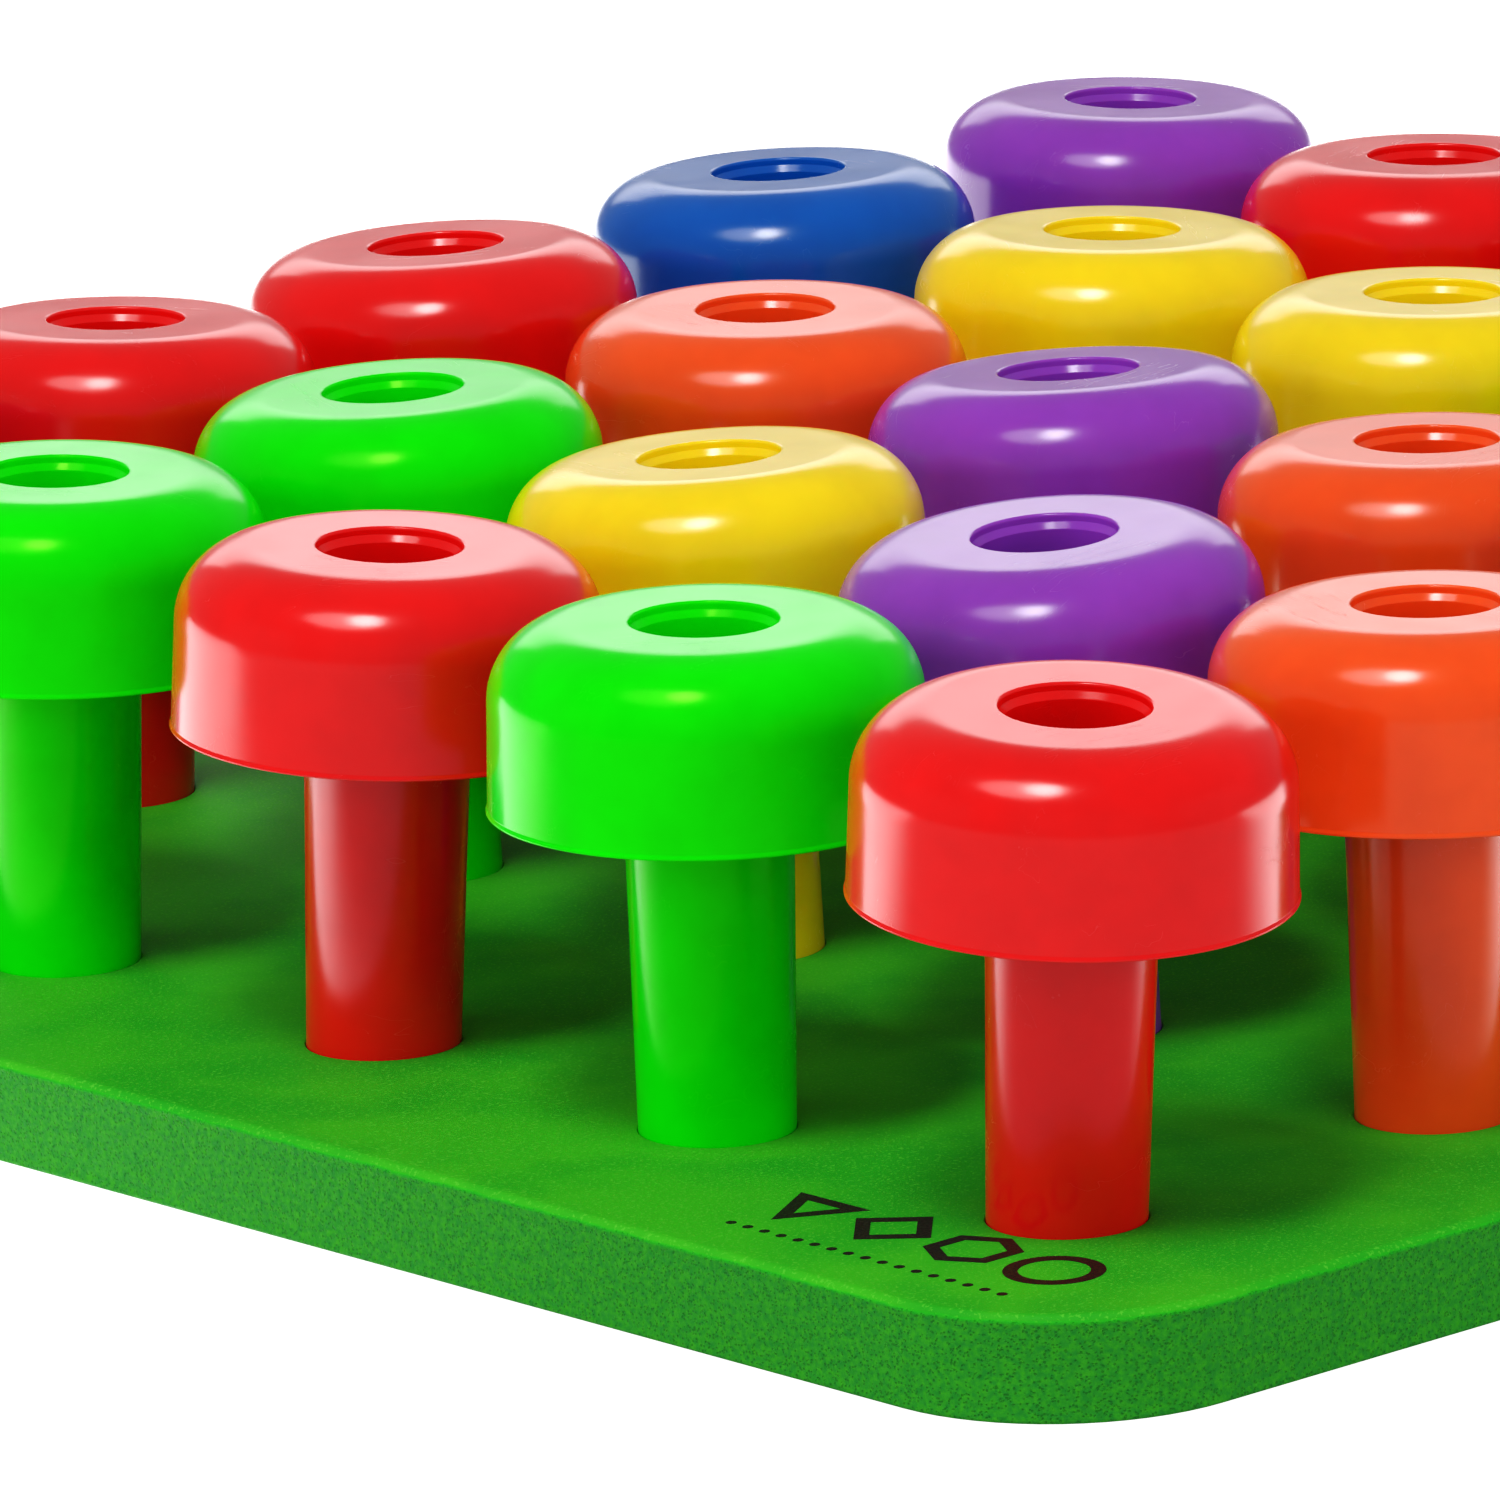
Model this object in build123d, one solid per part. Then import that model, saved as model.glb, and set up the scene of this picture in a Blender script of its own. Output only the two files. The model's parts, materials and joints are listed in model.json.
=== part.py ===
from build123d import *
from math import radians, tan
import os

# A toddler's stacking peg board: a square foam board with a grid of holes, and one
# hollow moulded peg for every hole. A peg is shaped like a mushroom. Its stem ends in
# a narrower spigot, which plugs into the board or into the socket in another peg's top.
# Millimetres, +Z up. The origin is the middle of the board's underside.
# +X runs along the columns 1 to 5 and +Y along the rows a to e.

# ---- Driving dimensions: peg -------------------------------------------------------
cap_diameter = 40.1        # widest part of the skirt, above its lip
skirt_draft = 0.35         # how much smaller the skirt's radius is at its top
skirt_height = 10.1        # straight part of the cap's side
shoulder_radius = 7.2      # rounding from the side to the flat top
lip_out = 0.15             # flash line round the skirt's lower edge
lip_height = 0.5
wall = 2.0                 # moulded wall of the cap and of the stem
stem_height = 30.0         # board's top face to the skirt's lower edge
stem_foot_diameter = 14.5  # at the board's top face
stem_draft_angle = 0.95    # degrees a side, wider towards the cap
spigot_diameter = 12.2
spigot_draft = 0.15        # smaller radius at the tip
spigot_chamfer = 0.6
rim_diameter = 13.6        # mouth of the socket in the cap's top
rim_depth = 0.75           # straight band below the mouth
rim_cone = 0.65            # height of the cone from that band to the socket
edge_round = 0.25          # moulded edges
root_round = 1.0           # stem to the underside of the cap

# ---- Driving dimensions: board -----------------------------------------------------
grid_count = 5             # holes along each side
cap_gap = 5.9              # between two upright caps
board_margin = 28.5        # outer holes' centres to the board's edge
board_thickness = 10.0
board_corner = 20.0
board_top_round = 0.9
board_bottom_round = 0.4
seat_depth = 1.0           # how far the stem's shoulder beds into the soft foam

# ---- Fits --------------------------------------------------------------------------
spigot_clearance = 0.05    # radial, spigot in the board's hole
seat_clearance = 0.10      # radial, stem's foot in its bed
stack_clearance = 0.25     # radial, spigot in another peg's socket
socket_spare = 1.0         # socket floor below a stacked spigot
floor_clearance = 1.0      # spigot tip above the board's underside

# ---- Lean of each peg --------------------------------------------------------------
# The foam lets every peg lean a little its own way. Degrees towards +X, then +Y,
# with rows a to e along +Y and columns 1 to 5 along +X.
peg_leans = {
    "a": [(-0.5, -4.0), (1.0, 0.5), (0.5, -1.0), (-1.0, 0.5), (0.0, 1.0)],
    "b": [(0.0, -0.5), (-3.0, 1.0), (1.5, 1.0), (1.0, -1.5), (-0.5, -1.0)],
    "c": [(1.5, -2.5), (-0.5, 3.5), (1.0, 4.0), (2.0, 0.5), (0.5, -0.5)],
    "d": [(1.0, -1.0), (-1.0, 2.0), (0.5, 0.0), (2.5, 0.5), (2.5, 1.0)],
    "e": [(2.0, 2.0), (3.0, 1.0), (0.0, 3.0), (0.5, 2.5), (3.0, 0.0)],
}

# ---- Worked-out sizes --------------------------------------------------------------
pitch = cap_diameter + cap_gap
board_side = (grid_count - 1) * pitch + 2 * board_margin
peg_top = stem_height + skirt_height + shoulder_radius
taper = tan(radians(stem_draft_angle))
spigot_tip = -(board_thickness - floor_clearance)
socket_radius = spigot_diameter / 2 + stack_clearance
socket_floor = peg_top - (board_thickness - floor_clearance - seat_depth) - socket_spare


def stem_radius(height):
    """Outside of the tapered stem at a height above the board's top face."""
    return stem_foot_diameter / 2 + height * taper


def bore_radius(height):
    """The cored-out middle of the stem follows its taper, one wall inside the spigot."""
    return spigot_diameter / 2 - spigot_draft - wall * 0.8 + (height - spigot_tip) * taper


def peg_profile():
    """Half section of a peg, radius against height, with height 0 at the board's top face."""
    skirt_foot = cap_diameter / 2
    skirt_head = skirt_foot - skirt_draft
    shoulder_height = stem_height + skirt_height
    rounding_centre = (skirt_head - shoulder_radius, shoulder_height)
    ceiling = peg_top - wall
    spigot_foot = spigot_diameter / 2 - spigot_draft
    with BuildSketch(Plane.XZ) as section:
        with BuildLine():
            # spigot, shoulder and stem, up to the underside of the cap
            Polyline(
                (bore_radius(spigot_tip), spigot_tip),
                (spigot_foot - spigot_chamfer, spigot_tip),
                (spigot_foot, spigot_tip + spigot_chamfer),
                (spigot_diameter / 2, -seat_depth),
                (stem_radius(-seat_depth), -seat_depth),
                (stem_radius(ceiling), ceiling),
                (skirt_head - shoulder_radius, ceiling),
            )
            # inside of the cap, then its lower edge with the flash line
            CenterArc(rounding_centre, shoulder_radius - wall, 90, -90)
            Polyline(
                (skirt_head - wall, shoulder_height),
                (skirt_foot - wall, stem_height),
                (skirt_foot + lip_out, stem_height),
                (skirt_foot + lip_out, stem_height + lip_height * 0.4),
                (skirt_foot, stem_height + lip_height),
                (skirt_head, shoulder_height),
            )
            # outside rounding, flat top, socket and the bore down the stem
            CenterArc(rounding_centre, shoulder_radius, 0, 90)
            Polyline(
                (skirt_head - shoulder_radius, peg_top),
                (rim_diameter / 2, peg_top),
                (rim_diameter / 2, peg_top - rim_depth),
                (socket_radius, peg_top - rim_depth - rim_cone),
                (socket_radius, socket_floor),
                (bore_radius(socket_floor), socket_floor),
                (bore_radius(spigot_tip), spigot_tip),
            )
        make_face()
    return section.sketch


def make_peg():
    """One hollow peg, upright, with its axis on Z."""
    with BuildPart() as peg:
        add(peg_profile())
        revolve(axis=Axis.Z)
        circles = peg.edges().filter_by(GeomType.CIRCLE)
        rim = [e for e in circles if abs(e.radius - rim_diameter / 2) < 0.01
               and abs(e.center().Z - peg_top) < 0.01]
        root = [e for e in circles if abs(e.radius - stem_radius(peg_top - wall)) < 0.01
                and abs(e.center().Z - (peg_top - wall)) < 0.01]
        fillet(rim, edge_round)
        fillet(root, root_round)
    return peg.part


def make_hole_cutter():
    """What one peg takes out of the board: a through hole and the bed of its shoulder."""
    beyond = 5.0
    hole_radius = spigot_diameter / 2 + spigot_clearance
    bed_radius = stem_radius(-seat_depth) + seat_clearance
    with BuildPart() as cutter:
        with Locations((0, 0, -board_thickness - beyond)):
            Cylinder(hole_radius, board_thickness + 2 * beyond,
                     align=(Align.CENTER, Align.CENTER, Align.MIN))
        with Locations((0, 0, -seat_depth)):
            Cylinder(bed_radius, beyond, align=(Align.CENTER, Align.CENTER, Align.MIN))
    return cutter.part


def peg_place(row, column):
    """The leaned axis of one peg, starting on the board's top face."""
    lean_x, lean_y = peg_leans["abcde"[row]][column]
    middle = (grid_count - 1) / 2
    foot = ((column - middle) * pitch, (row - middle) * pitch, board_thickness)
    axis = Vector(tan(radians(lean_x)), tan(radians(lean_y)), 1)
    return Plane(origin=foot, z_dir=axis, x_dir=axis.cross(Vector(0, 1, 0)) * -1).location


def make_board(places):
    """The foam board, with a leaned hole for every peg."""
    with BuildPart() as board:
        Box(board_side, board_side, board_thickness,
            align=(Align.CENTER, Align.CENTER, Align.MIN))
        fillet(board.edges().filter_by(Axis.Z), board_corner)
        fillet(board.faces().sort_by(Axis.Z)[-1].edges(), board_top_round)
        fillet(board.faces().sort_by(Axis.Z)[0].edges(), board_bottom_round)
    cutter = make_hole_cutter()
    solid = board.part
    for place in places:
        solid = solid - cutter.moved(place)
    return solid


os.makedirs("parts", exist_ok=True)
peg = make_peg()
places = {}
for row in range(grid_count):
    for column in range(grid_count):
        name = f"peg_{'abcde'[row]}{column + 1}"
        places[name] = peg_place(row, column)
        export_step(peg.moved(places[name]), f"parts/{name}.step")
export_step(make_board(places.values()), "parts/board.step")
print("board side", board_side, "pitch", pitch, "peg top", peg_top)
print("stem radius at the board", stem_radius(0), "at the cap", round(stem_radius(stem_height), 2))
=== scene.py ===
# %% [markdown]
# # A stacking peg board
#
# The object is a toddler's toy: a square sheet of green foam with a grid of holes, and a
# mushroom-shaped hollow plastic peg in every hole. Two finishes carry the whole look. The
# pegs are glossy moulded plastic, so they show the room round them. The board is
# closed-cell foam, dull and soft, with a fine skin on top and open cells where it was cut.
#
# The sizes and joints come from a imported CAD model. This script loads that model as a
# fixed frame, builds detailed meshes in the same place, and gives them their materials.
# Lengths in the frame are metres. Sizes of the pieces are written here in millimetres,
# as a toolmaker would, and turned into metres when a mesh is made.

# %% Load the frame
import json
import math
import random

import bmesh
import bpy
from mathutils import Matrix, Vector, noise
from mathutils.geometry import delaunay_2d_cdt


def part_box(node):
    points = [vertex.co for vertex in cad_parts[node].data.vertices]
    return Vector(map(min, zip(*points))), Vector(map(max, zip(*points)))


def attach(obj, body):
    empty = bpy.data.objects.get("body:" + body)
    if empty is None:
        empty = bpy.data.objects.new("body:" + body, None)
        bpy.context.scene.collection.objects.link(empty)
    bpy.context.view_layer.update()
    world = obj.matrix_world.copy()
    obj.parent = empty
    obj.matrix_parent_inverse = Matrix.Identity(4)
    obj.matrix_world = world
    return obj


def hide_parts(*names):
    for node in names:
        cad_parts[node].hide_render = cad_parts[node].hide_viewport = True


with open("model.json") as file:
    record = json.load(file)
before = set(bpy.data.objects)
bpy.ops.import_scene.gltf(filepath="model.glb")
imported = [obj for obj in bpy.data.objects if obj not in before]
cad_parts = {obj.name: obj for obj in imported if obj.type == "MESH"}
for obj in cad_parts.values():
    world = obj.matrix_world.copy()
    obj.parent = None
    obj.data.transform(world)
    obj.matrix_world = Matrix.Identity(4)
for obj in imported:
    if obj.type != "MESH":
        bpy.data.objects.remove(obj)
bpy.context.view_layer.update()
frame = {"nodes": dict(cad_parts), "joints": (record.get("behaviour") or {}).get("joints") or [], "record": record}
board_low, board_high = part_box("board")
MM = 0.001
print("board", [round(v, 4) for v in (*board_low, *board_high)])

# %% [markdown]
# ## The camera
#
# A long lens from far away keeps the near and the far pegs almost the same size, which
# suits a small product. The lens here is about ten times a normal one. The camera is set
# first, so that every later choice can be judged through it. It is placed by where it
# stands and what it looks at, and then rolled by a small angle, as a hand-levelled tripod
# often is.

# %% Camera
eye = Vector((-1.004, -1.062, 0.3837))
aim = Vector((-0.0487, -0.0041, 0.0300))
camera_roll = math.radians(-1.86)
lens_mm = 373.9

camera_data = bpy.data.cameras.new("camera")
camera_data.lens = lens_mm
camera_data.sensor_width = 36.0
camera_data.clip_start = 0.05
camera_data.clip_end = 50.0
camera = bpy.data.objects.new("camera", camera_data)
bpy.context.scene.collection.objects.link(camera)
level = (aim - eye).to_track_quat("-Z", "Y").to_matrix()
camera.matrix_world = Matrix.Translation(eye) @ (
    level @ Matrix.Rotation(camera_roll, 3, "Z")
).to_4x4()
bpy.context.scene.camera = camera
print("camera", round((aim - eye).length, 3), "m from what it looks at")

# %% [markdown]
# ## Floor and light
#
# Glossy plastic is drawn by what it reflects. In a product studio the object stands on a
# white sweep, with large soft boxes round it. A bright wall behind the toy gives the flat
# tops of the caps their pale sheen, because they are seen at a low angle. A round soft box
# above and in front gives each shoulder one highlight, and a larger, fainter one beside it
# makes that highlight fade to one side. Area lights do this, because unlike point lights
# they have a shape that can be reflected.
#
# Three more boxes, low in front and to both sides, only fill the shadows. They are hidden
# from the gloss, or each cap would show several highlights. The world is white to the
# camera and dimmer as a light, and a gentle curve deepens the darkest shades.

# %% Floor and lights
scene = bpy.context.scene
scene.view_settings.view_transform = "Standard"
scene.view_settings.use_curve_mapping = True
tone = scene.view_settings.curve_mapping
all_channels = tone.curves[3]
for level, shown in ((0.05, 0.028), (0.15, 0.130), (0.40, 0.41)):
    all_channels.points.new(level, shown)
tone.update()


def new_object(name, data):
    """Links a new object to the scene."""
    made = bpy.data.objects.new(name, data)
    scene.collection.objects.link(made)
    return made


def soft_box(name, place, size, watts, shape, mirrored):
    """An area light that faces the toy. The gloss shows it only when it is mirrored."""
    light = bpy.data.lights.new(name, "AREA")
    light.shape = shape
    light.size, light.size_y = size
    light.energy = watts
    box = new_object(name, light)
    box.location = place
    box.rotation_euler = (middle - place).to_track_quat("-Z", "Y").to_euler()
    box.visible_glossy = mirrored


sky_light = 0.36
sky_seen = 0.70
world = bpy.data.worlds.new("studio")
world.use_nodes = True
sky = world.node_tree
background = sky.nodes["Background"]
background.inputs["Color"].default_value = (1.0, 1.0, 1.0, 1.0)
seen = sky.nodes.new("ShaderNodeLightPath").outputs["Is Camera Ray"]
strength = sky.nodes.new("ShaderNodeMath")
strength.operation = "MULTIPLY_ADD"
sky.links.new(seen, strength.inputs[0])
strength.inputs[1].default_value = sky_seen
strength.inputs[2].default_value = sky_light
sky.links.new(strength.outputs[0], background.inputs["Strength"])
scene.world = world

toward_camera = Vector((eye.x - aim.x, eye.y - aim.y, 0)).normalized()
to_the_right = Vector((-toward_camera.y, toward_camera.x, 0))
up = Vector((0, 0, 1))
middle = Vector((0, 0, 0.04))

# Each box: metres towards the camera, to the right and up, then its size, watts and shape.
for name, (ahead, right, rise), size, watts, shape, mirrored in (
    ("back_wall", (-1.50, 0.00, 0.54), (1.40, 0.50), 3.8, "RECTANGLE", True),
    ("key", (0.60, -0.20, 1.05), (0.27, 0.34), 4.4, "ELLIPSE", True),
    ("key_wing", (0.60, -0.40, 1.05), (0.74, 0.50), 3.6, "ELLIPSE", True),
    ("front_fill", (1.15, 0.00, 0.32), (1.50, 0.60), 1.6, "RECTANGLE", False),
    ("left_box", (0.35, -1.10, 0.32), (0.90, 0.55), 3.8, "RECTANGLE", False),
    ("right_box", (0.35, 1.10, 0.32), (0.90, 0.55), 3.8, "RECTANGLE", False),
):
    place = middle + toward_camera * ahead + to_the_right * right + up * rise
    soft_box(name, place, size, watts, shape, mirrored)

floor_half = 4.0
floor_mesh = bpy.data.meshes.new("floor")
floor_mesh.from_pydata(
    [(x * floor_half, y * floor_half, board_low.z)
     for x, y in ((-1, -1), (1, -1), (1, 1), (-1, 1))],
    [], [(0, 1, 2, 3)],
)
floor = new_object("floor", floor_mesh)

# %% [markdown]
# ## Helpers for meshes
#
# Each peg is a lathed shape: one outline, turned round an axis. A moulded part has no
# knife edges, so the outline is given as corners with a radius each, and a helper rounds
# them. It also adds a point just before and just after each rounding. Those support points
# keep the smooth shading of the rounding from spreading over the flat faces beside it,
# which on glossy plastic would show at once as a dent.

# %% Outline and lathe helpers
chord = 0.7
support = 0.06


def round_corner(before, corner, after, radius):
    """Points of the rounding of one corner, with a support point on each side."""
    here = Vector(corner)
    back, ahead = Vector(before) - here, Vector(after) - here
    turn = math.pi - back.angle(ahead)
    reach = radius * math.tan(turn / 2)
    start, end = here + back.normalized() * reach, here + ahead.normalized() * reach
    centre = here + (back.normalized() + ahead.normalized()).normalized() * (
        radius / math.cos(turn / 2)
    )
    steps = max(3, math.ceil(turn * (radius + 1.0) / chord))
    arm, last = start - centre, end - centre
    side = 1 if arm.x * last.y - arm.y * last.x > 0 else -1
    points = [start + back.normalized() * min(support, back.length * 0.2)]
    for i in range(steps + 1):
        angle = side * turn * i / steps
        points.append(centre + Vector((
            arm.x * math.cos(angle) - arm.y * math.sin(angle),
            arm.x * math.sin(angle) + arm.y * math.cos(angle),
        )))
    points.append(end + ahead.normalized() * min(support, ahead.length * 0.2))
    return points


def rounded_outline(corners):
    """A closed outline from (radius, height, rounding) corners, in millimetres."""
    outline = []
    for i, (r, z, rounding) in enumerate(corners):
        before, after = corners[i - 1], corners[(i + 1) % len(corners)]
        if rounding:
            outline += round_corner(before[:2], (r, z), after[:2], rounding)
        else:
            outline.append(Vector((r, z)))
    return outline


def lathe(outline, segments):
    """Vertices and faces of a closed outline turned round the Z axis, in metres."""
    count = len(outline)
    vertices = [
        (p.x * MM * math.cos(a), p.x * MM * math.sin(a), p.y * MM)
        for a in (2 * math.pi * s / segments for s in range(segments))
        for p in outline
    ]
    faces = [
        (s * count + i, (s + 1) % segments * count + i,
         (s + 1) % segments * count + (i + 1) % count, s * count + (i + 1) % count)
        for s in range(segments)
        for i in range(count)
    ]
    return vertices, faces


print("helpers ready")

# %% [markdown]
# ## The peg
#
# A peg is one hollow moulding. From the tip up it has a spigot that plugs into the board,
# a shoulder that stops it, a tapered stem, and a wide cap that is hollow underneath. The
# cap's top is flat, with a deep rounding, and has a socket that takes the next peg's
# spigot. A thin flash line runs round the skirt's lower edge, where the two halves of the
# mould meet. The outline below repeats the sizes of the CAD part, and adds the small
# roundings that the mould gives. Height 0 is the board's top face.

# %% Peg outline
cap_radius = 20.05
skirt_draft = 0.35
skirt_foot = 30.0
shoulder_radius = 7.2
peg_top = 47.3
wall = 2.0
stem_radius_at_board = 7.25
stem_taper = math.tan(math.radians(0.95))
spigot_radius = 6.1
spigot_tip = -9.0
seat = -1.0
rim_radius = 6.8
socket_radius = 6.35
socket_floor = 38.3
lip_out = 0.15
lip_height = 0.5


def stem_radius(height):
    """Outside radius of the tapered stem."""
    return stem_radius_at_board + height * stem_taper


def bore_radius(height):
    """Inside radius of the stem, which follows its taper."""
    return spigot_radius - 0.15 - wall * 0.8 + (height - spigot_tip) * stem_taper


ceiling = peg_top - wall
skirt_head = cap_radius - skirt_draft
peg_corners = [
    (bore_radius(spigot_tip), spigot_tip, 0.2),
    (spigot_radius - 0.75, spigot_tip, 0.15),
    (spigot_radius - 0.15, spigot_tip + 0.6, 0.15),
    (spigot_radius, seat, 0.05),
    (stem_radius(seat), seat, 0.12),
    (stem_radius(ceiling), ceiling, 1.0),
    (skirt_head - wall, ceiling, shoulder_radius - wall),
    (cap_radius - wall, skirt_foot, 0.25),
    (cap_radius + lip_out, skirt_foot, 0.10),
    (cap_radius + lip_out, skirt_foot + lip_height * 0.4, 0.08),
    (cap_radius, skirt_foot + lip_height, 0.12),
    (skirt_head, peg_top, shoulder_radius),
    (rim_radius, peg_top, 0.25),
    (rim_radius, peg_top - 0.75, 0.12),
    (socket_radius, peg_top - 1.4, 0.12),
    (socket_radius, socket_floor, 0.12),
    (bore_radius(socket_floor), socket_floor, 0.12),
]
peg_outline = rounded_outline(peg_corners)
print("outline points", len(peg_outline))

# %% [markdown]
# ## Twenty-five pegs
#
# No two pegs stand quite the same way, because the soft foam lets each one lean. The frame
# already knows how: every peg has a slide joint along its own axis, and a socket mount on
# that axis. From the two, the script finds the point where the axis leaves the board's
# top face, and puts a peg there. Each peg is also turned by a different angle, so that
# the marks in its finish don't line up with its neighbour's. The turn is the golden angle
# times the peg's number, which never repeats. Before a mesh is moved to its place, it
# keeps each point's place on the upright peg, because the finish is drawn from that.

# %% Place the pegs
segments = 96
golden_angle = math.radians(137.5)
joint_axis = {joint["child"]: Vector(joint["axis"]) for joint in frame["joints"]}
sockets = {mount["name"]: mount for mount in frame["record"]["mounts"]}
slot_of = {part["node"]: part["material_slot"] for part in frame["record"]["subparts"]}
peg_nodes = sorted(name for name in frame["nodes"] if name.startswith("peg_"))
peg_vertices, peg_faces = lathe(peg_outline, segments)
peg_pieces, peg_feet = {}, {}

for number, node in enumerate(peg_nodes):
    axis = joint_axis[node].normalized()
    inside = Vector(sockets[node.replace("peg", "socket")]["pos_m"])
    foot = inside - axis * ((inside.z - board_high.z) / axis.z)
    mesh = bpy.data.meshes.new(node)
    mesh.from_pydata(peg_vertices, [], peg_faces)
    mesh.polygons.foreach_set("use_smooth", [True] * len(mesh.polygons))
    seed = mesh.attributes.new("mould_seed", "FLOAT", "POINT")
    seed.data.foreach_set("value", [number * 0.37] * len(mesh.vertices))
    own_place = mesh.attributes.new("own_place", "FLOAT_VECTOR", "POINT")
    own_place.data.foreach_set("vector", [c / MM for point in peg_vertices for c in point])
    mesh.transform(Matrix.Translation(foot) @ (
        axis.to_track_quat("Z", "Y").to_matrix() @ Matrix.Rotation(golden_angle * number, 3, "Z")
    ).to_4x4())
    piece = new_object(node.replace("peg", "moulded_peg"), mesh)
    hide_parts(node)
    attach(piece, node)
    peg_pieces[node] = piece
    peg_feet[node] = foot / MM
print("pegs placed", len(peg_pieces), "with", len(peg_faces), "faces each")

# %% [markdown]
# ## The foam board: its surface
#
# The board was cut from a sheet of closed-cell foam. Its top is nearly flat but never
# quite: it rises and falls by a tenth of a millimetre over a few centimetres, and it dips
# where each peg presses into it. One function gives the height of that top face, so that
# everything that lies on it, the print too, follows the same surface. The dips only go
# down, and the board stays inside its real thickness.

# %% Height of the top face
thickness = (board_high.z - board_low.z) / MM
board_half = (board_high.x - board_low.x) / 2 / MM
bed_radius = 7.28
rim_round = 0.20
swell_depth = 0.14
swell_size = 38.0
dip_depth = 0.12
dip_reach = 1.6

peg_axes = {node: joint_axis[node].normalized() for node in peg_nodes}


def top_height(x, y):
    """Height of the board's top face at a place, in millimetres."""
    swell = 0.5 + 0.5 * noise.noise((x / swell_size, y / swell_size, 0.7))
    nearest = min(math.hypot(x - foot.x, y - foot.y) for foot in peg_feet.values())
    from_hole = max(0.0, nearest - bed_radius - rim_round)
    dip = dip_depth * math.exp(-((from_hole / dip_reach) ** 1.5))
    return thickness - swell_depth * min(1.0, max(0.0, swell)) - dip


print("top face between holes", round(top_height(0.5 * cap_radius, 23.0), 3), "mm high")

# %% [markdown]
# ## The foam board: its mesh
#
# A flat face with twenty-five holes can't be a grid. The holes' loops and the outline are
# given as edges to a Delaunay triangulation, with loose points between them, and it fills
# the rest with well-shaped triangles. The sides are rings bridged one below the other, so
# that the top edge gets its rounding and the cut side its slight waviness. Each hole leans
# with its peg, so its rings lie on a leaned cylinder. Every point also keeps how far down
# from the top face it lies, measured along the surface, because the foam's skin, the
# painted highlight line along its top edge and its cut side have different finishes.

# %% Helpers for the board
side_steps = 100
corner_steps = 16
hole_steps = 56
vertices, faces, depth_down = [], [], []


def square_ring(inset, height, down, wave=0.0):
    """Adds a ring round the board, with rounded corners. Returns the points' numbers."""
    half, corner = board_half - inset, board_corner - inset
    ring = []
    for quarter in range(4):
        turn = Matrix.Rotation(quarter * math.pi / 2, 2)
        side = [
            Vector((half, (half - corner) * (2 * i / side_steps - 1))) for i in range(side_steps)
        ]
        bend = [
            Vector((half - corner + corner * math.cos(a), half - corner + corner * math.sin(a)))
            for a in (math.pi / 2 * i / corner_steps for i in range(corner_steps))
        ]
        for flat in side + bend:
            point = turn @ flat
            pull = wave * (0.5 + 0.5 * noise.noise((point.x / 9, point.y / 9, height / 3)))
            point -= point.normalized() * max(0.0, pull)
            sunk = (thickness - top_height(point.x, point.y)) * max(0.0, 1 - down / 3)
            ring.append(add_point(point.x, point.y, height - sunk, down))
    return ring


def add_point(x, y, z, down):
    """Adds one point, in millimetres, and returns its number."""
    vertices.append((x * MM, y * MM, z * MM))
    depth_down.append(down)
    return len(vertices) - 1


def hole_ring(node, radius, down, height=None, along=None):
    """Adds a ring on the leaned cylinder of one hole, level at a height, or square to its axis."""
    foot, axis = peg_feet[node], peg_axes[node]
    across = axis.orthogonal().normalized()
    beside = axis.cross(across)
    ring = []
    for i in range(hole_steps):
        angle = 2 * math.pi * i / hole_steps
        point = foot + radius * (math.cos(angle) * across + math.sin(angle) * beside)
        if along is None:
            level = height(point.x, point.y)
            point += axis * ((level - point.z) / axis.z)
        else:
            point += axis * along
        ring.append(add_point(*point, down))
    return ring


def bridge(upper, lower):
    """Joins two rings of the same number of points with faces."""
    for i in range(len(upper)):
        j = (i + 1) % len(upper)
        faces.append((upper[i], lower[i], lower[j], upper[j]))


def fill(outline, holes, loose, facing):
    """Triangulates the area between an outline ring and hole rings, with loose points in it."""
    numbers = outline + [n for ring in holes.values() for n in ring] + loose
    flat = [Vector((vertices[n][0] / MM, vertices[n][1] / MM)) for n in numbers]
    edges, start = [], 0
    for ring in [outline, *holes.values()]:
        edges += [(start + i, start + (i + 1) % len(ring)) for i in range(len(ring))]
        start += len(ring)
    points, _, triangles, sources, _, _ = delaunay_2d_cdt(flat, edges, [], 0, 1e-6)
    number_of = [numbers[source[0]] for source in sources]
    rims = [set(outline)] + [set(ring) for ring in holes.values()]
    for triangle in triangles:
        corners = [number_of[i] for i in triangle]
        if any(all(c in rim for c in corners) for rim in rims):
            continue
        faces.append(tuple(corners if facing > 0 else corners[::-1]))


print("board helpers ready")

# %% [markdown]
# The rings are added from the top face out and down to the underside. The rounding of
# the top edge is a quarter circle, and so is the smaller one at the bottom. The loose
# points of the top face lie on a grid and are moved a little at random, from a fixed
# seed, and closer rings of them surround each hole to carry the dip.

# %% Board mesh
board_corner = 20.0
top_round = 0.9
bottom_round = 0.4
side_wave = 0.16
grid_step = 2.6
quarter_turn = [math.radians(a) for a in (0, 18, 36, 54, 72, 90)]
dip_rings = ((0.5, 48), (1.1, 40), (1.9, 32), (2.9, 26))
clear_of_hole, clear_of_side = 4.2, 2.2
jitter = 0.5
random.seed(11)

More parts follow.
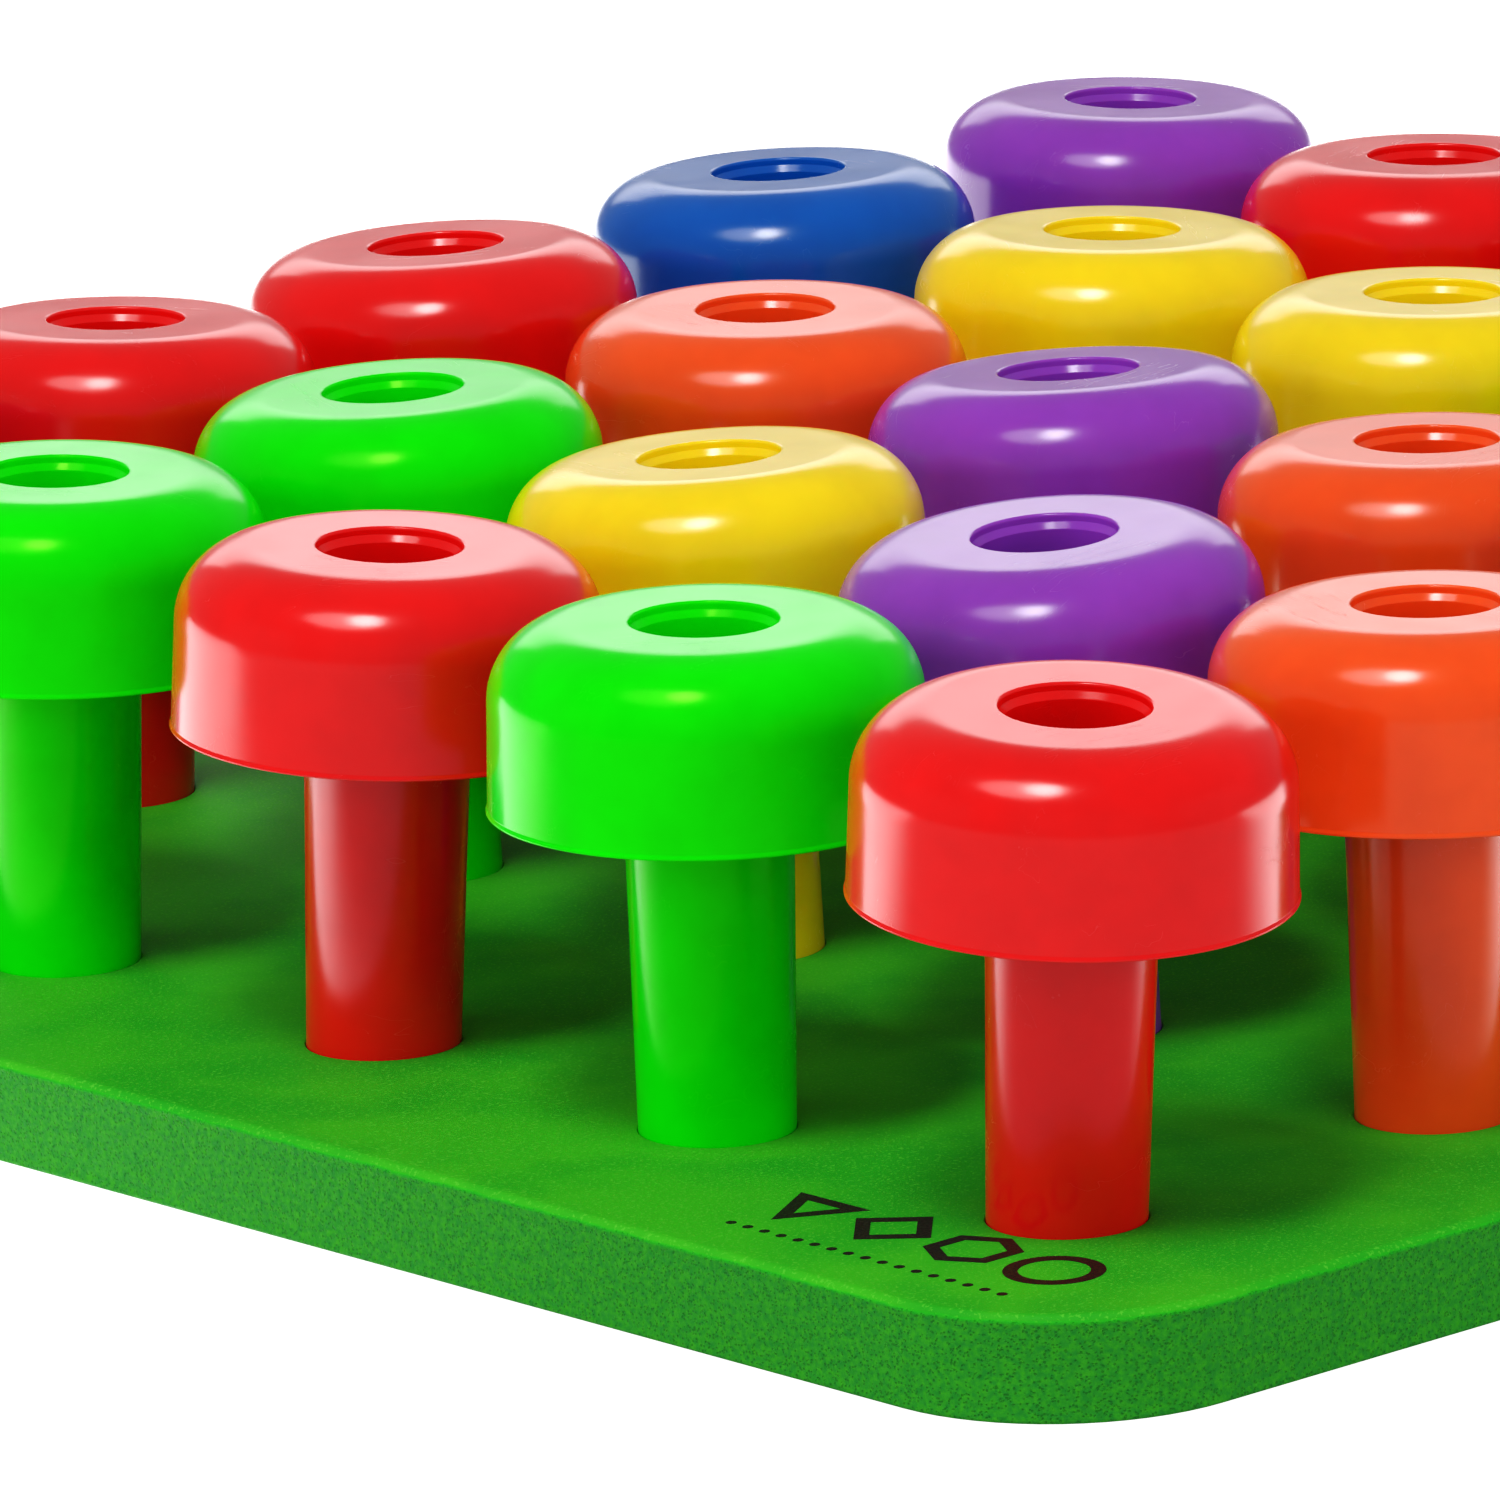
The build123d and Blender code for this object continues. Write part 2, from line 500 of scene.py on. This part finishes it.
arc = top_round * math.pi / 2
rings = [square_ring(top_round + 1.0, thickness, 0.0)]
for angle in quarter_turn:
    inset = top_round * (1 - math.sin(angle))
    height = thickness - top_round * (1 - math.cos(angle))
    rings.append(square_ring(inset, height, top_round * angle))
for height in (8.6, 8.1, 7.4, 6.6, 5.7, 4.8, 3.9, 3.0, 2.1, 1.3, 0.8):
    rings.append(square_ring(0.0, height, arc + thickness - top_round - height, side_wave))
for angle in reversed(quarter_turn):
    inset = bottom_round * (1 - math.sin(angle))
    rings.append(square_ring(inset, bottom_round * (1 - math.cos(angle)), thickness))
for upper, lower in zip(rings, rings[1:]):
    bridge(upper, lower)

hole_tops, hole_feet = {}, {}
for node in peg_nodes:
    wall_rings = [
        hole_ring(node, bed_radius + rim_round * (1 - math.sin(angle)), rim_round * angle,
                  height=lambda x, y, a=angle: top_height(x, y) - rim_round * (1 - math.cos(a)))
        for angle in quarter_turn
    ]
    wall_rings += [
        hole_ring(node, bed_radius, 1.5, along=seat - 0.05),
        hole_ring(node, spigot_radius + 0.05, 2.5, along=seat - 0.05),
        hole_ring(node, spigot_radius + 0.05, 9.0, height=lambda x, y: bottom_round),
        hole_ring(node, spigot_radius + 0.05 + bottom_round, thickness, height=lambda x, y: 0.0),
    ]
    for upper, lower in zip(wall_rings, wall_rings[1:]):
        bridge(lower, upper)
    hole_tops[node], hole_feet[node] = wall_rings[0], wall_rings[-1]

loose = []
for node, foot in peg_feet.items():
    for beyond, count in dip_rings:
        radius = bed_radius + rim_round + beyond
        for i in range(count):
            angle = 2 * math.pi * (i + beyond) / count
            x, y = foot.x + radius * math.cos(angle), foot.y + radius * math.sin(angle)
            loose.append(add_point(x, y, top_height(x, y), 0.0))
reach = board_half - top_round - 1.0
steps = int(2 * reach / grid_step)
for i in range(1, steps):
    for j in range(1, steps):
        x = -reach + 2 * reach * i / steps + random.uniform(-jitter, jitter)
        y = -reach + 2 * reach * j / steps + random.uniform(-jitter, jitter)
        near_hole = min(math.hypot(x - f.x, y - f.y) for f in peg_feet.values())
        over_x = max(0.0, abs(x) - (board_half - board_corner))
        over_y = max(0.0, abs(y) - (board_half - board_corner))
        from_side = board_corner - math.hypot(over_x, over_y)
        off_hole = near_hole > bed_radius + rim_round + clear_of_hole
        if off_hole and from_side > top_round + clear_of_side:
            loose.append(add_point(x, y, top_height(x, y), 0.0))
fill(rings[0], hole_tops, loose, 1)
fill(rings[-1], hole_feet, [], -1)

board_mesh = bpy.data.meshes.new("foam_board")
board_mesh.from_pydata(vertices, [], faces)
board_mesh.polygons.foreach_set("use_smooth", [True] * len(board_mesh.polygons))
board_mesh.attributes.new("depth_down", "FLOAT", "POINT").data.foreach_set("value", depth_down)
foam_board = new_object("foam_board", board_mesh)
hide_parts("board")
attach(foam_board, "board")
print("board faces", len(faces))
check = bmesh.new()
check.from_mesh(board_mesh)
print("open edges", sum(not edge.is_manifold for edge in check.edges))
print("volume", round(check.calc_volume(signed=True) / MM**3), "cubic mm")
check.free()

# %% [markdown]
# ## A generic print
#
# Near its front corner the board carries a small dark print. Here it is a row of plain
# outlines, from a triangle to a ring, over a line of dots: shapes that any sorting toy
# might show. Ink is a film. Each stroke is a thin closed strip that follows the board's
# top face and stands a few hundredths of a millimetre proud of it, so that it has an edge
# to catch the light and can't flicker against the foam.

# %% Printed shapes
print_line_x = -105.0
print_start_y, print_end_y = -73.0, -104.0
shape_radius = 3.9
stroke = 1.35
ink_above, ink_below = 0.03, 0.06
dots_line_x = -113.2
dot_radius = 0.50
dot_count = 17
dots_inset = 2.0
ink_vertices, ink_faces = [], []


def ink_ring(points):
    """Adds one ring of ink points, each (x, y, lift above the board), and returns their numbers."""
    start = len(ink_vertices)
    for x, y, lift in points:
        ink_vertices.append((x * MM, y * MM, (top_height(x, y) + lift) * MM))
    return list(range(start, len(ink_vertices)))


def join_rings(one, other):
    """Faces between two ink rings."""
    for i in range(len(one)):
        j = (i + 1) % len(one)
        ink_faces.append((one[i], one[j], other[j], other[i]))


def polygon_point(sides, turn, radius, share):
    """A point a share of the way round a polygon of straight sides."""
    along = share * sides
    corner = int(along)
    first, second = (
        Vector((math.cos(a), math.sin(a))) * radius
        for a in (turn + 2 * math.pi * (corner + k) / sides for k in (0, 1))
    )
    return first.lerp(second, along - corner)


def outline_shape(x, y, sides, radius):
    """A closed stroke along a polygon."""
    count = 60 if sides > 12 else sides * 12
    widen = 1 / math.cos(math.pi / sides)
    edges = []
    for size, lift in (
        (radius + stroke / 2 * widen, ink_above), (radius - stroke / 2 * widen, ink_above),
        (radius - stroke / 2 * widen, -ink_below), (radius + stroke / 2 * widen, -ink_below),
    ):
        around = [polygon_point(sides, math.pi, size, i / count) for i in range(count)]
        edges.append(ink_ring([(x + p.x, y + p.y, lift) for p in around]))
    for i in range(4):
        join_rings(edges[i - 1], edges[i])


def dot(x, y):
    """A round dot with a top, a rim and an underside."""
    round_it = [(math.cos(a), math.sin(a)) for a in (2 * math.pi * i / 16 for i in range(16))]
    top = ink_ring([(x + dot_radius * c, y + dot_radius * s, ink_above) for c, s in round_it])
    foot = ink_ring([(x + dot_radius * c, y + dot_radius * s, -ink_below) for c, s in round_it])
    join_rings(foot, top)
    ink_faces.extend([tuple(top), tuple(reversed(foot))])


shapes = (3, 4, 6, 60)
print_length = print_end_y - print_start_y
for i, sides in enumerate(shapes):
    along = print_length * i / (len(shapes) - 1)
    outline_shape(print_line_x, print_start_y + along, sides, shape_radius)
for i in range(dot_count):
    along = dots_inset + (print_length - 2 * dots_inset) * i / (dot_count - 1)
    dot(dots_line_x, print_start_y + along)
ink_mesh = bpy.data.meshes.new("printed_shapes")
ink_mesh.from_pydata(ink_vertices, [], ink_faces)
printed_shapes = new_object("printed_shapes", ink_mesh)
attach(printed_shapes, "board")
print("print faces", len(ink_faces))

# %% [markdown]
# ## Tools for finishes
#
# A finish is a small network of nodes. Effects that several finishes share are built once
# as groups, with named inputs and outputs, and each material sets its own values. Two
# short helpers keep the networks readable: one starts a group and one adds a node and
# joins its inputs. All patterns are made in millimetres in the piece's own space, so they
# stay on the piece when it moves.

# %% Node helpers
def new_group(name, inputs, outputs):
    """A shader group with named sockets. Returns the group, its input node and its output node."""
    group = bpy.data.node_groups.new(name, "ShaderNodeTree")
    for socket_name, kind, value in inputs:
        socket = group.interface.new_socket(name=socket_name, in_out="INPUT", socket_type=kind)
        if value is not None:
            socket.default_value = value
    for socket_name in outputs:
        group.interface.new_socket(name=socket_name, in_out="OUTPUT", socket_type="NodeSocketFloat")
    return group, group.nodes.new("NodeGroupInput"), group.nodes.new("NodeGroupOutput")


def add_node(tree, kind, sockets=None, **options):
    """Adds a node, sets its options, and sets or joins its inputs."""
    node = tree.nodes.new(kind)
    for option, value in options.items():
        setattr(node, option, value)
    for socket, value in (sockets or {}).items():
        if isinstance(value, bpy.types.NodeSocket):
            tree.links.new(value, node.inputs[socket])
        else:
            node.inputs[socket].default_value = value
    return node


def maths(tree, operation, first, second=0.0, third=0.0):
    """One sum. Returns its result."""
    node = add_node(tree, "ShaderNodeMath", {0: first, 1: second, 2: third}, operation=operation)
    return node.outputs[0]


def smooth_range(tree, value, low, high, to_low=0.0, to_high=1.0):
    """Maps a value smoothly from one range to another, and keeps it inside."""
    node = add_node(
        tree, "ShaderNodeMapRange",
        {"Value": value, "From Min": low, "From Max": high, "To Min": to_low, "To Max": to_high},
        interpolation_type="SMOOTHSTEP",
    )
    return node.outputs["Result"]


print("node helpers ready")

# %% [markdown]
# ## Group: soft patches
#
# Nearly every surface changes a little from place to place: pigment that isn't mixed
# quite evenly, a skin that is slightly thicker here, ink that took less there. Noise with
# a chosen size, cut softly between two levels, stands for all of them. A seed moves it,
# so that each piece has its own.

# %% Soft Patches group
patches_group, into, out = new_group(
    "Soft Patches",
    [("Place", "NodeSocketVector", None), ("Size", "NodeSocketFloat", 10.0),
     ("Detail", "NodeSocketFloat", 3.0), ("Seed", "NodeSocketFloat", 0.0),
     ("From", "NodeSocketFloat", 0.4), ("To", "NodeSocketFloat", 0.6)],
    ["Mask"],
)
per_mm = maths(patches_group, "DIVIDE", 1.0, into.outputs["Size"])
field = add_node(
    patches_group, "ShaderNodeTexNoise",
    {"Vector": into.outputs["Place"], "W": into.outputs["Seed"], "Scale": per_mm,
     "Detail": into.outputs["Detail"], "Roughness": 0.55},
    noise_dimensions="4D",
)
mask = smooth_range(patches_group, field.outputs[0], into.outputs["From"], into.outputs["To"])
patches_group.links.new(mask, out.inputs["Mask"])
print("group", patches_group.name)

# %% [markdown]
# ## Group: moulded skin
#
# A moulded plastic part copies its steel mould. The cap's face was turned on a lathe, so
# very fine rings remain there, and the walls shrink a little as they cool, which bends
# the reflections slightly. Handling adds hairline scuffs. The group gives a roughness and
# a height from these three. All of them are faint, because the plastic is new and shiny.

# %% Moulded Skin group
moulded_group, into, out = new_group(
    "Moulded Skin",
    [("Place", "NodeSocketVector", None), ("Seed", "NodeSocketFloat", 0.0),
     ("Polish", "NodeSocketFloat", 0.17), ("Face Height", "NodeSocketFloat", 47.0)],
    ["Roughness", "Height"],
)
ring_radians_per_mm = 14.0
ring_rise, scuff_rise, scuff_dullness = 0.03, -0.04, 0.16
place, seed_in = into.outputs["Place"], into.outputs["Seed"]
xyz = add_node(moulded_group, "ShaderNodeSeparateXYZ", {0: place}).outputs
flat_place = add_node(moulded_group, "ShaderNodeCombineXYZ", {"X": xyz["X"], "Y": xyz["Y"]})
from_axis = add_node(
    moulded_group, "ShaderNodeVectorMath", {0: flat_place.outputs[0]}, operation="LENGTH"
)
above_face = maths(moulded_group, "SUBTRACT", xyz["Z"], into.outputs["Face Height"])
on_face = smooth_range(moulded_group, above_face, 0.0, 0.25)
rings_round = maths(moulded_group, "MULTIPLY", from_axis.outputs["Value"], ring_radians_per_mm)
ring_wave = maths(moulded_group, "SINE", rings_round)
ring_fade = add_node(
    moulded_group, "ShaderNodeTexNoise",
    {"Vector": place, "W": seed_in, "Scale": 0.12, "Detail": 1.0}, noise_dimensions="4D",
)
rings_here = smooth_range(moulded_group, ring_fade.outputs[0], 0.4, 0.7)
rings_here = maths(moulded_group, "MULTIPLY", on_face, rings_here)
ring_height = maths(moulded_group, "MULTIPLY", ring_wave, rings_here)
shrink = add_node(
    moulded_group, "ShaderNodeTexNoise",
    {"Vector": place, "W": seed_in, "Scale": 0.16, "Detail": 1.5}, noise_dimensions="4D",
)
stretched = add_node(
    moulded_group, "ShaderNodeMapping",
    {"Vector": place, "Rotation": (0.4, 0.2, 0.9), "Scale": (0.05, 0.5, 0.25)},
)
hair = add_node(
    moulded_group, "ShaderNodeTexNoise",
    {"Vector": stretched.outputs[0], "W": seed_in, "Scale": 1.0, "Detail": 3.0, "Distortion": 0.6},
    noise_dimensions="4D",
)
off_line = maths(moulded_group, "ABSOLUTE", maths(moulded_group, "SUBTRACT", hair.outputs[0], 0.5))
scuff = maths(
    moulded_group, "MULTIPLY", smooth_range(moulded_group, off_line, 0.0, 0.006, 1.0, 0.0),
    smooth_range(moulded_group, ring_fade.outputs[0], 0.5, 0.65),
)
haze = smooth_range(moulded_group, shrink.outputs[0], 0.35, 0.7, 0.0, 0.04)
rough = maths(moulded_group, "ADD", into.outputs["Polish"], haze)
rough = maths(moulded_group, "MULTIPLY_ADD", scuff, scuff_dullness, rough)
height = maths(moulded_group, "MULTIPLY_ADD", ring_height, ring_rise, shrink.outputs[0])
height = maths(moulded_group, "MULTIPLY_ADD", scuff, scuff_rise, height)
moulded_group.links.new(rough, out.inputs["Roughness"])
moulded_group.links.new(height, out.inputs["Height"])
print("group", moulded_group.name)

# %% [markdown]
# ## The six plastics
#
# The pegs come in six colours of the same shiny plastic, so one function makes all six
# finishes. The colour is strong and deep. Pigment flows in faint streaks, which the soft
# patches give as a slightly darker shade. A little light travels under the surface,
# as it does in every pale moulding, and the gloss comes from the shader's own reflection.

# %% Plastic finishes
plastic_colours = {
    "plastic_red": (0.80, 0.006, 0.006),
    "plastic_green": (0.003, 0.78, 0.003),
    "plastic_orange": (0.90, 0.09, 0.012),
    "plastic_yellow": (0.95, 0.67, 0.006),
    "plastic_purple": (0.27, 0.055, 0.46),
    "plastic_blue": (0.002, 0.10, 0.44),
}


def in_millimetres(tree):
    """The place on the piece, in millimetres."""
    coordinates = add_node(tree, "ShaderNodeTexCoord")
    scaled = add_node(
        tree, "ShaderNodeVectorMath", {0: coordinates.outputs["Object"], "Scale": 1 / MM},
        operation="SCALE",
    )
    return scaled.outputs[0]


def new_material(name):
    """A material with one shader joined to its output. Returns it, its network and the shader."""
    material = bpy.data.materials.new(name)
    material.use_nodes = True
    tree = material.node_tree
    tree.nodes.clear()
    shader = tree.nodes.new("ShaderNodeBsdfPrincipled")
    end = tree.nodes.new("ShaderNodeOutputMaterial")
    tree.links.new(shader.outputs[0], end.inputs["Surface"])
    return material, tree, shader


# The green pigment dulls and colours its gloss. The other five shine white.
gloss_colours = {"plastic_green": (0.50, 0.85, 0.12)}
gloss_levels = {"plastic_green": 0.28}


def plastic(name, colour):
    """A glossy moulded plastic of one colour."""
    material, tree, shader = new_material(name)
    place = add_node(tree, "ShaderNodeAttribute", attribute_name="own_place").outputs["Vector"]
    seed = add_node(tree, "ShaderNodeAttribute", attribute_name="mould_seed").outputs["Fac"]
    streaks = add_node(tree, "ShaderNodeGroup", node_tree=patches_group)
    streaks.inputs["Size"].default_value = 9.0
    streaks.inputs["From"].default_value = 0.3
    streaks.inputs["To"].default_value = 0.75
    skin = add_node(tree, "ShaderNodeGroup", node_tree=moulded_group)
    for group in (streaks, skin):
        tree.links.new(place, group.inputs["Place"])
        tree.links.new(seed, group.inputs["Seed"])
    shade = add_node(tree, "ShaderNodeMix", {0: streaks.outputs["Mask"]}, data_type="RGBA")
    shade.inputs[6].default_value = (*colour, 1.0)
    shade.inputs[7].default_value = (*(c * 0.88 for c in colour), 1.0)
    tree.links.new(shade.outputs[2], shader.inputs["Base Color"])
    tree.links.new(skin.outputs["Roughness"], shader.inputs["Roughness"])
    bump = add_node(tree, "ShaderNodeBump", {"Height": skin.outputs["Height"], "Distance": 0.00001})
    tree.links.new(bump.outputs[0], shader.inputs["Normal"])
    shader.inputs["IOR"].default_value = 1.5
    shader.inputs["Specular IOR Level"].default_value = gloss_levels.get(name, 0.5)
    shader.inputs["Specular Tint"].default_value = (*gloss_colours.get(name, (1.0, 1.0, 1.0)), 1.0)
    shader.inputs["Subsurface Weight"].default_value = 0.15
    shader.inputs["Subsurface Scale"].default_value = 0.003
    return material


plastics = {name: plastic(name, colour) for name, colour in plastic_colours.items()}
for node, piece in peg_pieces.items():
    piece.data.materials.append(plastics[slot_of[node]])
print("plastics", list(plastics))

# %% [markdown]
# ## The foam
#
# The foam is given three finishes. Its top is a thin skin, matt, with a fine grain and
# soft yellower patches. Its cut side shows the cells as small pits, darkened with painted
# shade. Between the two runs a thin brighter line, a painted highlight along the rounded
# top edge. The depth kept with the mesh says which is which, and a little noise makes the
# line waver. The grain comes from one more group, because the ink lies on the same grain.

# %% Foam Grain group
grain_group, into, out = new_group(
    "Foam Grain",
    [("Place", "NodeSocketVector", None), ("Grain Size", "NodeSocketFloat", 0.3),
     ("Cell Size", "NodeSocketFloat", 0.5)],
    ["Grain", "Specks", "Pits"],
)
place = into.outputs["Place"]
grains_per_mm = maths(grain_group, "DIVIDE", 1.0, into.outputs["Grain Size"])
cells_per_mm = maths(grain_group, "DIVIDE", 1.0, into.outputs["Cell Size"])
fine = add_node(
    grain_group, "ShaderNodeTexNoise",
    {"Vector": place, "Scale": grains_per_mm, "Detail": 2.0, "Roughness": 0.6},
)
cells = add_node(
    grain_group, "ShaderNodeTexVoronoi",
    {"Vector": place, "Scale": cells_per_mm, "Randomness": 1.0},
)
uneven = maths(grain_group, "MULTIPLY_ADD", fine.outputs[0], 0.5, cells.outputs["Distance"])
specks = smooth_range(grain_group, fine.outputs[0], 0.54, 0.66)
pits = smooth_range(grain_group, uneven, 0.38, 0.66, 1.0, 0.0)
grain_group.links.new(fine.outputs[0], out.inputs["Grain"])
grain_group.links.new(specks, out.inputs["Specks"])
grain_group.links.new(pits, out.inputs["Pits"])
print("group", grain_group.name)

# %% [markdown]
# The foam material mixes its colours in the order in which one would look at them: the
# skin with its patches and specks, then the cut side with its cells and the painted shade
# in their pits, and last the painted highlight line between them.

# %% Foam finish
foam, tree, shader = new_material("foam_green")
place = in_millimetres(tree)
down = add_node(tree, "ShaderNodeAttribute", attribute_name="depth_down").outputs["Fac"]


def patches(tree, place, size, low, high, detail=3.0):
    """Soft patches of one size in a material."""
    group = add_node(tree, "ShaderNodeGroup", node_tree=patches_group)
    tree.links.new(place, group.inputs["Place"])
    for socket, value in (("Size", size), ("From", low), ("To", high), ("Detail", detail)):
        group.inputs[socket].default_value = value
    return group.outputs["Mask"]


def mixed(tree, share, first, second):
    """Two colours mixed by a share. Each is a socket or a colour."""
    node = add_node(tree, "ShaderNodeMix", {0: share}, data_type="RGBA")
    for socket, colour in ((6, first), (7, second)):
        if isinstance(colour, bpy.types.NodeSocket):
            tree.links.new(colour, node.inputs[socket])
        else:
            node.inputs[socket].default_value = (*colour, 1.0)
    return node.outputs[2]


def grain(tree, place, grain_size, cell_size=None):
    """The foam's grain in a material, with its sizes in millimetres."""
    group = add_node(tree, "ShaderNodeGroup", node_tree=grain_group)
    tree.links.new(place, group.inputs["Place"])
    group.inputs["Grain Size"].default_value = grain_size
    if cell_size:
        group.inputs["Cell Size"].default_value = cell_size
    return group.outputs


skin_plain, skin_yellow = (0.022, 0.35, 0.014), (0.052, 0.43, 0.014)
skin_speck = (0.12, 0.55, 0.05)
cut_blue, cut_yellow = (0.016, 0.22, 0.028), (0.044, 0.33, 0.016)
# Painted shade: the dark colour put into the pits of the cut cells.
painted_pit_shade = (0.002, 0.07, 0.010)
# Painted highlight: a brighter green for the line along the rounded top edge, where it catches the light.
painted_edge_highlight = (0.010, 0.46, 0.008)

top_grain = grain(tree, place, 0.38)
side_grain = grain(tree, place, 0.30, 0.36)

waver = patches(tree, place, 4.0, 0.3, 0.7)
depth = maths(tree, "MULTIPLY_ADD", waver, 0.16, down)
on_side = smooth_range(tree, depth, 1.15, 1.35)
# Where the painted highlight line lies, between the skin and the cut side.
below_skin = smooth_range(tree, depth, 1.05, 1.2)
above_cut = smooth_range(tree, depth, 1.35, 1.6, 1.0, 0.0)
painted_highlight_band = maths(tree, "MULTIPLY", below_skin, above_cut)

skin_colour = mixed(tree, patches(tree, place, 22.0, 0.38, 0.62), skin_plain, skin_yellow)
speck_share = maths(tree, "MULTIPLY", top_grain["Specks"], 0.62)
skin_colour = mixed(tree, speck_share, skin_colour, skin_speck)
cut_colour = mixed(tree, patches(tree, place, 0.6, 0.25, 0.75), cut_blue, cut_yellow)
# The pits of the cut side are darkened with painted shade.
painted_pit_shade_share = maths(tree, "MULTIPLY", side_grain["Pits"], 0.32)
cut_colour = mixed(tree, painted_pit_shade_share, cut_colour, painted_pit_shade)
colour = mixed(tree, on_side, skin_colour, cut_colour)
# The painted highlight line is mixed in last.
colour = mixed(tree, maths(tree, "MULTIPLY", painted_highlight_band, 0.45), colour, painted_edge_highlight)
tree.links.new(colour, shader.inputs["Base Color"])
pit_depth = maths(tree, "MULTIPLY", side_grain["Pits"], -1.2)
side_height = maths(tree, "ADD", pit_depth, side_grain["Grain"])
side_height = maths(tree, "MULTIPLY", side_height, on_side)
height = maths(tree, "MULTIPLY_ADD", top_grain["Grain"], 0.32, side_height)
bump = add_node(tree, "ShaderNodeBump", {"Height": height, "Distance": 0.00007})
tree.links.new(bump.outputs[0], shader.inputs["Normal"])
dull = smooth_range(tree, top_grain["Grain"], 0.3, 0.7, 0.62, 0.80)
tree.links.new(dull, shader.inputs["Roughness"])
shader.inputs["IOR"].default_value = 1.45
shader.inputs["Specular IOR Level"].default_value = 0.35
foam_board.data.materials.append(foam)
print("foam nodes", len(tree.nodes))

# %% [markdown]
# ## The ink
#
# The ink is a matt, nearly black film on the same grain. Where it took less, the green
# shows through a little, so soft patches of a fraction of a millimetre lighten it.

# %% Ink finish
ink, tree, shader = new_material("ink_dark")
place = in_millimetres(tree)
ink_full, ink_thin = (0.012, 0.010, 0.006), (0.03, 0.07, 0.012)
ink_grain = grain(tree, place, 0.32)
thin_share = maths(tree, "MULTIPLY", patches(tree, place, 0.7, 0.5, 0.8), 0.35)
tree.links.new(mixed(tree, thin_share, ink_full, ink_thin), shader.inputs["Base Color"])
ink_rough = smooth_range(tree, ink_grain["Grain"], 0.3, 0.7, 0.45, 0.65)
tree.links.new(ink_rough, shader.inputs["Roughness"])
bump = add_node(tree, "ShaderNodeBump", {"Height": ink_grain["Grain"], "Distance": 0.00003})
tree.links.new(bump.outputs[0], shader.inputs["Normal"])
printed_shapes.data.materials.append(ink)
print("ink nodes", len(tree.nodes))

# %% [markdown]
# ## The floor
#
# The sweep is matt white paper, and it glows, though it is no lamp. A faint glow for every
# ray and a stronger one for the camera keep it pure white right up to the toy, as an evenly
# lit sweep does. Only in the gloss of the plastic, the paper beside and behind the toy glows
# much brighter, and the paper in front keeps its faint glow: a painted reflection. That
# gives the skirts and stems their upright pale bands at both sides and leaves their middles
# deep in colour.

# %% Floor finish
paper, tree, shader = new_material("white_paper")
paper_light, paper_dark = (0.52, 0.52, 0.52), (0.50, 0.50, 0.50)
# The paper's glow is painted light: a little for every ray, more for the camera, and much more in the gloss.
glow_always, glow_seen, painted_reflection_glow = 0.20, 0.75, 3.6
mirrored_until, mirrored_from = 0.05, 0.15
paper_patches = patches(tree, in_millimetres(tree), 60.0, 0.3, 0.7)
tree.links.new(mixed(tree, paper_patches, paper_light, paper_dark), shader.inputs["Base Color"])
shader.inputs["Roughness"].default_value = 0.9
shader.inputs["Emission Color"].default_value = (1.0, 1.0, 1.0, 1.0)
rays = add_node(tree, "ShaderNodeLightPath").outputs
spot = add_node(tree, "ShaderNodeTexCoord").outputs["Object"]
ahead = add_node(
    tree, "ShaderNodeVectorMath", {0: spot, 1: tuple(toward_camera)}, operation="DOT_PRODUCT"
).outputs["Value"]
# Painted reflection: glossy rays see the paper behind and beside the toy glow brightly, and the paper in front
# only faintly.
painted_reflection_strength = smooth_range(tree, ahead, mirrored_until, mirrored_from, painted_reflection_glow, 0.0)
glow = maths(tree, "MULTIPLY_ADD", rays["Is Camera Ray"], glow_seen, glow_always)
glow = maths(tree, "MULTIPLY_ADD", rays["Is Glossy Ray"], painted_reflection_strength, glow)
tree.links.new(glow, shader.inputs["Emission Strength"])
floor.data.materials.append(paper)
print("floor ready")
